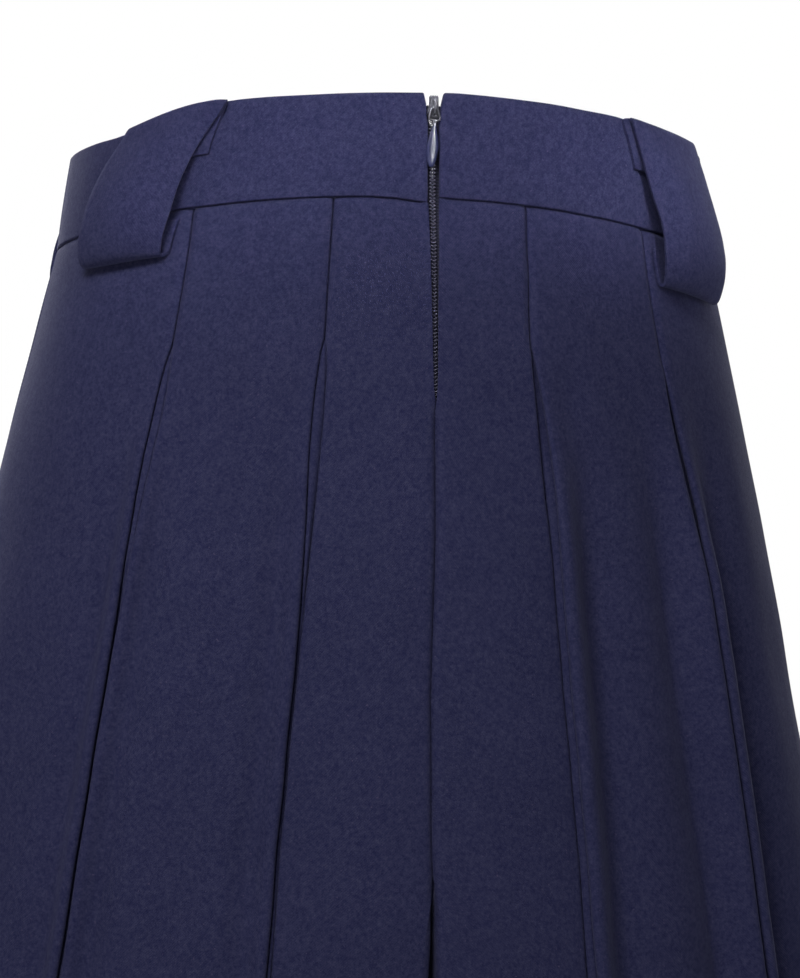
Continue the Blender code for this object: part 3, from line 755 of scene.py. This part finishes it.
loopCut = {
    "thickness": 0.0013,
    "rounding": 0.0005,
    # level, the strip's inner edge in degrees on the left and on the right
    "flapEdge": ((-0.0010, 37.0, 37.7), (-0.0050, 37.9, 38.8), (-0.0190, 40.1, 40.6)),
    "edge": (
        (-0.0010, 36.6, 39.4), (-0.0080, 39.3, 41.0), (-0.0142, 41.3, 41.8), (-0.0200, 42.85, 42.2),
        (-0.0281, 44.2, 42.9), (-0.0324, 44.9, 43.5), (-0.0400, 45.15, 44.8), (-0.0455, 45.7, 44.2),
        (-0.0508, 46.2, 43.9), (-0.0567, 46.55, 43.95), (-0.0625, 46.7, 44.0),
    ),
    "span": (22.0, 19.5),
    "stretch": (0.946, 1.012),
    "flapEnd": (-0.0203, -0.0187),
    "footTuck": (1.0, 0.3),
    # how far the inner edge curls in towards the band, and how far the foot rises to its outer end
    "edgePinch": (0.0042, 0.0035),
    "pinchReach": 0.45,
    "footLift": (0.0025, 0.0004),
    "liftFrom": (0.5, 0.4),
    "cornerDrop": (0.0008, 0.0002),
    "cornerReach": (0.14, 0.06),
    # clear of the band, from a distance and over a run, the strip bows, sways and is slightly uneven
    "clearFrom": (0.0035, 0.003),
    "bow": 0.0009,
    "sway": (0.35, 95, 1.3),
    "uneven": 0.00025,
    # level and distance out, from the flap's end over the band and down to the foot's end
    "path": inMetres((
        (-18.5, 1.6), (-10, 1.6), (-1.2, 1.6), (0, 2.3), (0, 3.3), (-1.8, 4.2), (-8, 5.3), (-16, 6.8), (-25, 8.5),
        (-35, 9.9), (-44, 10.3), (-52, 9.2), (-58, 7), (-61.5, 5), (-62.5, 3.3), (-62.2, 2.1), (-60.5, 1.6),
        (-54.5, 1.6), (-48, 1.6),
    )),
    "foldedAt": 2,
    "turnedAt": 14,
    "turnRun": 2,
    # columns, how they crowd at the inner edge, and rows between the path's points
    "across": 21,
    "crowd": 1.25,
    "between": 4,
}


def curvePoints(points, steps):
    # a smooth line through the points
    found = []
    last = len(points) - 1
    for n in range(last):
        p0, p1, p2, p3 = (Vector(points[min(max(k, 0), last)]) for k in (n - 1, n, n + 1, n + 2))
        for step in range(steps):
            t = step / steps
            spot = 2 * p1 + (p2 - p0) * t + (2 * p0 - 5 * p1 + 4 * p2 - p3) * t**2
            found.append((spot + (3 * p1 - p0 - 3 * p2 + p3) * t**3) / 2)
    return found + [Vector(points[-1])]


def softEdge(rows, level, which):
    # a table's column with its corners rounded off
    return sum(rowAt(rows, level + step * 0.001)[which] for step in range(-5, 6)) / 11


def makeLoop(back, side):
    values, which = loopCut, 0 if side > 0 else 1
    word, node = namesOf(back, side)
    path = [(level * values["stretch"][which], out) for level, out in values["path"]]
    path[0] = (values["flapEnd"][which], path[0][1])
    line = curvePoints(path, values["between"])
    lengths = lengthsAlong(line)
    foot = path[values["turnedAt"]][0]

    def spotAt(i, j):
        level, out = line[j]
        share = min(max(level / foot, 0), 1)
        along = j / values["between"]
        folded = smoothShare(along - values["foldedAt"])
        turned = smoothShare((along - values["turnedAt"]) / values["turnRun"])
        inner = between(*(softEdge(values[edge], level, which) for edge in ("flapEdge", "edge")), folded)
        inner -= values["footTuck"][which] * turned
        part = (i / (values["across"] - 1)) ** values["crowd"]
        clearAt, clearRun = values["clearFrom"]
        clear = smoothShare((out - clearAt) / clearRun)
        # the strip bows across its width and its inner edge curls in
        curl = max(1 - part / values["pinchReach"], 0) ** 2
        out -= values["edgePinch"][which] * math.sin(math.pi * share) ** 0.7 * curl * folded * (1 - turned)
        out += clear * values["bow"] * math.sin(math.pi * part)
        liftAt, liftRun = values["liftFrom"]
        level += values["footLift"][which] * part * smoothShare((share - liftAt) / liftRun)
        cornerPart, cornerShare = values["cornerReach"]
        level -= values["cornerDrop"][which] * max(1 - part / cornerPart, 0) ** 2 * bump(share, cornerShare)
        sway, waves, shift = values["sway"]
        turn = sway * math.sin(level * waves + side * shift) * clear + between(*values["span"], share)
        angle = math.radians(inner + turn * part)
        out += values["uneven"] * noise.noise(Vector((part * 3, level * 60, 5.0 + side + 3 * back))) * clear
        if not back:
            angle = math.pi - angle
        return placeOnForm(angle * side, level, out), (part * 0.05, lengths[j])

    sheet = clothGrid(values["across"], len(line), spotAt)
    return finishCloth(f"loop{word}", sheet, f"belt_loop_{node}", values["thickness"], values["rounding"], 2)


loopPieces = [makeLoop(back, side) for back in (True, False) for side in (1, -1)]


# the zip: tapes, two coils, the slider and its pull

zipCut = {
    "tapeInner": (0.00135, 0.00012),
    "tapeJoin": (-0.0112, 0.002),
    "tapeOuter": 0.0120,
    "tapeThickness": 0.0006,
    "tapeRounding": 0.00015,
    "tapeLevels": (-0.0048, -0.126),
    "tapeSteps": 100,
    "tapeColumns": (0, 0.04, 0.08, 0.12, 0.17, 0.25, 0.45, 0.7, 1),
    # distance out behind the band and the skirt, the coil and the foot, with where each begins and its run
    "tapeOut": (-0.00245, -0.00125),
    "tapeSettles": (0.003, 0.008),
    "coilSeat": -0.00245,
    "besideCoil": (0.0013, 0.0011),
    "footSeat": -0.00340,
    "footFrom": (-0.1165, 0.004),
    # the tape's bend across, as half its circle's radius
    "tapeBend": 0.32,
    "coilLevels": (-0.0112, -0.1188),
    "coilPitch": 0.00142,
    "coilSides": 6,
    "coilPerTurn": 12,
    "coilOut": (-0.00110, -0.00140),
    "coilSettles": (0.004, 0.010),
    "coilWide": 0.00052,
    "coilMiddle": 0.00048,
    "coilWire": 0.00026,
    "coilShift": 0.00025,
    "coilEndSlack": 0.0006,
    "pivotLevel": -0.0065,
    "pivotOut": 0.00165,
}


def wireAlong(points, radius, sides, closed=False):
    # a round wire through the points, one ring at each, bridged to the next
    wire = bmesh.new()
    rings = []
    count = len(points)
    sideways = None
    for n, spot in enumerate(points):
        ahead = points[(n + 1) % count] if closed or n < count - 1 else spot
        behind = points[n - 1] if closed or n > 0 else spot
        run = (Vector(ahead) - Vector(behind)).normalized()
        sideways = run.orthogonal() if sideways is None else sideways - run * sideways.dot(run)
        sideways.normalize()
        ring = bmesh.ops.create_circle(wire, cap_ends=False, segments=sides, radius=radius)["verts"]
        turn = Matrix((sideways, run.cross(sideways), run)).transposed().to_4x4()
        bmesh.ops.transform(wire, verts=ring, matrix=Matrix.Translation(spot) @ turn)
        rings.append(list({edge for vert in ring for edge in vert.link_edges}))
    for first, second in zip(rings, rings[1:] + (rings[:1] if closed else [])):
        bmesh.ops.bridge_loops(wire, edges=first + second)
    if not closed:
        bmesh.ops.holes_fill(wire, edges=rings[0] + rings[-1], sides=sides)
    bmesh.ops.recalc_face_normals(wire, faces=wire.faces)
    return wire


def makeTapeStrip(side):
    values = zipCut
    columns, steps = values["tapeColumns"], values["tapeSteps"]
    settlePast, settleRun = values["tapeSettles"]
    joinAt, joinRun = values["tapeJoin"]
    besideAt, besideRun = values["besideCoil"]
    footAt, footRun = values["footFrom"]

    def spotAt(i, j):
        level = between(*values["tapeLevels"], j / steps)
        inner = between(*values["tapeInner"], smoothShare((joinAt - level) / joinRun))
        across = between(inner, values["tapeOuter"], columns[i])
        out = between(*values["tapeOut"], smoothShare((bandFoot - settlePast - level) / settleRun))
        out = between(out, values["coilSeat"], 1 - smoothShare((across - besideAt) / besideRun))
        out = between(out, values["footSeat"], smoothShare((footAt - level) / footRun))
        spot = placeOnForm(0, level, out)
        spot.x = side * across
        spot.y -= spot.x**2 / values["tapeBend"]
        spot.x += centreSway(level, 0)
        return spot, (across, level)

    sheet, word = clothGrid(len(columns), steps + 1, spotAt), sideWord(side)
    return finishCloth("zipTape" + word, sheet, f"zip_tape_{word.lower()}", values["tapeThickness"],
                       values["tapeRounding"], 1, tapeLook, "zip_tape")


def makeCoil(side):
    # one ring of the wire spun round and down into a coil, then laid behind the opening
    values = zipCut
    top, foot = values["coilLevels"]
    pitch, perTurn = values["coilPitch"], values["coilPerTurn"]
    settlePast, settleRun = values["coilSettles"]
    steps = round((top - foot) / pitch * perTurn)
    coil = bmesh.new()
    start = Matrix.Translation((values["coilWide"], 0, 0)) @ Matrix.Rotation(math.pi / 2, 4, "X")
    bmesh.ops.create_circle(coil, cap_ends=True, segments=values["coilSides"], radius=values["coilWire"], matrix=start)
    bmesh.ops.spin(coil, geom=coil.faces[:], cent=(0, 0, 0), axis=(0, 0, 1), dvec=(0, 0, -pitch / perTurn),
                   angle=2 * math.pi * steps / perTurn * side, steps=steps, use_merge=False, use_duplicate=False)
    offset = pitch / 2 if side < 0 else 0
    for vert in coil.verts:
        level = max(top + vert.co.z - offset, foot - values["coilEndSlack"])
        lower = smoothShare((bandFoot + settlePast - level) / settleRun)
        spot = placeOnForm(0, level, between(*values["coilOut"], lower) + vert.co.y)
        spot.x = side * values["coilMiddle"] + vert.co.x + values["coilShift"] + centreSway(level, 0)
        vert.co = spot
    bmesh.ops.recalc_face_normals(coil, faces=coil.faces)
    # the left coil alone stands in for the solids' one bar
    replaced = ("zip_chain",) if side > 0 else ()
    return finishPiece("zipCoil" + sideWord(side), coil, coilLook, "garment", "zip_tape", *replaced)


def pullSeat():
    slope = (bodyForm["hipRows"][0][2] - bodyForm["waistRow"][2]) / bandFoot
    seat = placeOnForm(0, zipCut["pivotLevel"], zipCut["pivotOut"])
    return Matrix.Translation(seat) @ Matrix.Rotation(-math.atan(slope), 4, "X")


def addBlock(shape, size, centre, topShare=1.0, rounding=0.0003):
    # sizes and places are across, up and outwards from the pull's axis
    across, up, outwards = size
    block = bmesh.ops.create_cube(shape, size=1)["verts"]
    for vert in block:
        narrow = topShare if vert.co.z > 0 else 1.0
        vert.co = Vector((vert.co.x * across * narrow + centre[0], vert.co.y * outwards + centre[2],
                          vert.co.z * up + centre[1]))
    edges = list({edge for vert in block for edge in vert.link_edges})
    bmesh.ops.bevel(shape, geom=edges, offset=rounding, segments=3, profile=0.5, affect="EDGES", material=-1)


sliderCut = {
    "raise": 0.0004,
    # body, ribs, shoulder, post and plate: sizes across, up and outwards, the middle from the pull's axis and
    # the slider's floor, how much of the width is left at the top, and the rounding
    "blocks": (
        ((0.0044, 0.0088, 0.0024), (0, 0.0008, -0.0007), 0.84, 0.0007),
        *(((0.00046, 0.0040, 0.0009), (x, 0.0031, 0.0005), 0.9, 0.0002)
          for x in (-0.00130, -0.00044, 0.00044, 0.00130)),
        ((0.0052, 0.0030, 0.0018), (0, -0.0010, -0.0009), 0.9, 0.0006),
        ((0.0020, 0.0068, 0.0030), (0, 0.0008, -0.0026), 1.0, 0.0003),
        ((0.0044, 0.0056, 0.0012), (0, -0.0004, -0.0038), 0.9, 0.0005),
    ),
    "bridgeWire": 0.00046,
    "bridge": inMetres((
        (-0.2, 3.4), (1.2, 3.2), (2.4, 2.4), (3, 1.2), (3.1, 0), (2.8, -1), (1.8, -1.8), (0.2, -2.2),
    )),
}


def makeSlider():
    cut = sliderCut
    floor = -zipCut["pivotOut"]
    shape = bmesh.new()
    for size, (across, up, out), topShare, rounding in cut["blocks"]:
        addBlock(shape, size, (across, up + cut["raise"], floor + out), topShare, rounding)
    bmesh.ops.transform(shape, matrix=pullSeat(), verts=shape.verts)
    # the bridge is a wire arched over the pull's eye
    arch = [pullSeat() @ Vector((0, floor + out, up)) for out, up in cut["bridge"]]
    bridge = wireAlong(arch, cut["bridgeWire"], 12)
    carrier = bpy.data.meshes.new("bridge")
    bridge.to_mesh(carrier)
    bridge.free()
    shape.from_mesh(carrier)
    bpy.data.meshes.remove(carrier)
    return finishPiece("zipSliderBody", shape, castLook, "garment", "zip_enamel", "zip_slider")


pullCut = {
    "wire": 0.00042,
    "ring": inMetres((
        (-1.05, 0), (1.05, 0), (1.65, -1.4), (2.15, -3.2), (2.05, -4.2), (1.2, -4.6), (-1.2, -4.6), (-2.05, -4.2),
        (-2.15, -3.2), (-1.65, -1.4),
    )),
    "tabTop": -0.0064,
    "tabLength": 0.0166,
    # share down the tab, half width, half thickness
    "tabRows": inMetres((
        (0.0, 0.74, 0.45), (0.06, 0.9, 0.5), (0.16, 1.28, 0.54), (0.30, 1.92, 0.58), (0.45, 2.28, 0.6),
        (0.56, 2.36, 0.6), (0.70, 2.16, 0.62), (0.80, 1.86, 0.68), (0.88, 1.58, 0.9), (0.94, 1.26, 0.84),
        (0.98, 0.84, 0.5), (1.0, 0.42, 0.25),
    ), (0,)),
    "tabLean": 0.0013,
    # sizes across, up and outwards, the middle and the rounding of the two blocks between ring and tab
    "neck": (((0.0019, 0.0012, 0.0014), (0, -0.0048, 0), 0.0003), ((0.0013, 0.0022, 0.0009), (0, -0.0062, 0), 0.00025)),
    # below 1, the tab's faces are flatter and its rim is soft
    "tabFlatness": (0.8, 0.7),
}


def makePull():
    cut = pullCut
    shape = wireAlong([Vector((x, 0, z)) for x, z in cut["ring"]], cut["wire"], 10, True)
    for size, centre, rounding in cut["neck"]:
        addBlock(shape, size, centre, rounding=rounding)
    for face in shape.faces:
        face.material_index = 1
    rows = [(-share, wide, thick) for share, wide, thick in cut["tabRows"]]
    tab = bmesh.ops.create_uvsphere(shape, u_segments=28, v_segments=26, radius=1)["verts"]
    for vert in tab:
        share = (1 - vert.co.z) / 2
        wide, thick = rowAt(rows, -share, True)
        flat = Vector((vert.co.x, vert.co.y))
        if flat.length > 1e-5:
            flat.normalize()
            flat = Vector([math.copysign(abs(value) ** power, value) for value, power in zip(flat, cut["tabFlatness"])])
        vert.co = Vector((flat.x * wide + cut["tabLean"] * share, flat.y * thick,
                          cut["tabTop"] - cut["tabLength"] * share))
    bmesh.ops.transform(shape, matrix=pullSeat(), verts=shape.verts)
    bmesh.ops.recalc_face_normals(shape, faces=shape.faces)
    made = finishPiece("zipPullTab", shape, enamelLook, "pull_tab", "zip_enamel", "zip_pull")
    made.data.materials.append(castLook)
    return made


tapePieces = []
for side in (1, -1):
    tapePieces.append(makeTapeStrip(side))
    makeCoil(side)
makeSlider()
makePull()
print("zip made")


# the flat cut of each cloth piece: width and length, area, how it is held and what it rests on
flatCuts = (
    (legPieces[:2], (0.60, 0.41), 0.183, "hung", bandPieces),
    (legPieces[2:], (0.60, 0.41), 0.177, "hung", bandPieces),
    (bandPieces[:2], (0.190, 0.041), 0.0075, "hung", ()),
    (bandPieces[2:], (0.366, 0.041), 0.0149, "hung", ()),
    (loopPieces, (0.048, 0.100), 0.0045, "folded", bandPieces),
    (tapePieces, (0.0122, 0.1215), 0.00147, "hung", legPieces[:2]),
)
for pieces, flat, area, held, restsOn in flatCuts:
    for piece in pieces:
        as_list(restsOn)


# floor, light and camera

stageLook = {
    "floorLevel": -0.95,
    "floorHalf": 9.0,
    "floorColour": (0.82, 0.82, 0.80),
    # the floor's painted glow: the distance where it starts, where it is full, and its strength
    "glowFrom": 1.4,
    "glowTo": 4.5,
    "glowMost": 0.80,
    "ambient": 0.015,
}


def makeFloor():
    values = stageLook
    shape = bmesh.new()
    bmesh.ops.create_grid(shape, x_segments=2, y_segments=2, size=values["floorHalf"])
    bmesh.ops.translate(shape, verts=shape.verts, vec=(0, 0, values["floorLevel"]))
    # the floor glows more the farther out it runs, a painted glow that blends it into the white backdrop and also sheds
    # a faint light back onto the cloth
    look = Look("paleFloor")
    reach = look.add("VectorMath", {0: look.place}, operation="LENGTH").outputs["Value"]
    fade = look.add("MapRange", {"Value": reach, "From Min": values["glowFrom"], "From Max": values["glowTo"],
                                 "To Max": values["glowMost"]}).outputs["Result"]
    look.feed(look.shader, {"Base Color": (*values["floorColour"], 1), "Roughness": 0.8,
                            "Emission Color": (1, 1, 1, 1), "Emission Strength": fade})
    addObject("floor", shape, look.material)


def makeWorld():
    # the camera sees plain white, while the cloth is lit by a faint even light
    scene.world = bpy.data.worlds.new("studio")
    tree = NodeTree(scene.world)
    seen = tree.nodes["Background"]
    tree.feed(seen, {"Color": (1, 1, 1, 1), "Strength": 1.0})
    felt = tree.add("Background", {"Color": (0.95, 0.97, 1.0, 1), "Strength": stageLook["ambient"]})
    toCamera = tree.add("LightPath", {}).outputs["Is Camera Ray"]
    mix = tree.add("MixShader", {"Fac": toCamera, 1: felt.outputs[0], 2: seen.outputs[0]})
    tree.feed(tree.nodes["World Output"], {"Surface": mix.outputs[0]})


studioLights = {
    # place, target, width and height, power, spread in degrees
    "key": ((0.55, 1.05, 0.80), (0.03, 0.10, -0.02), (0.50, 0.50), 2.7, 80),
    "bandBeam": ((-0.30, 1.15, 0.42), (-0.02, 0.08, -0.012), (0.42, 0.05), 0.058, 8),
    "loopBeam": ((-0.60, 0.90, 0.30), (-0.098, 0.072, -0.030), (0.10, 0.03), 0.007, 5),
    "overhead": ((0.0, 0.1, 2.4), (0.0, 0.0, 0.0), (2.5, 2.5), 10.0, 180),
    "frontFill": ((0.6, -2.2, 0.9), (0.0, 0.0, -0.2), (1.4, 1.4), 54.0, 180),
    "frontSideFill": ((-1.3, -2.0, 0.7), (0.0, 0.0, -0.2), (1.0, 1.0), 20.0, 180),
}


def addLight(name, place, target, size, power, spread):
    light = bpy.data.lights.new(name, "AREA")
    light.shape = "RECTANGLE"
    light.size, light.size_y = size
    light.energy = power
    light.spread = math.radians(spread)
    made = bpy.data.objects.new(name, light)
    made.location = place
    made.rotation_euler = (Vector(target) - Vector(place)).to_track_quat("-Z", "Y").to_euler()
    made.visible_camera = False
    scene.collection.objects.link(made)


# solved from the photo: place, turn as a quaternion, and lens
photoCamera = {
    "place": (0.367243, 2.041603, -0.297439),
    "turn": (0.053936694, 0.075147353, 0.728519499, 0.678751051),
    "lens": 190.527607,
}


def makeCamera():
    data = bpy.data.cameras.new("photoView")
    data.sensor_width, data.lens = 36.0, photoCamera["lens"]
    data.clip_start, data.clip_end = 0.05, 50
    camera = bpy.data.objects.new("photoView", data)
    camera.matrix_world = Matrix.LocRotScale(Vector(photoCamera["place"]), Quaternion(photoCamera["turn"]), None)
    scene.collection.objects.link(camera)
    scene.camera = camera


makeFloor()
makeWorld()
for lightName, values in studioLights.items():
    addLight(lightName, *values)
makeCamera()
scene.view_settings.view_transform = "Standard"
print("stage set")
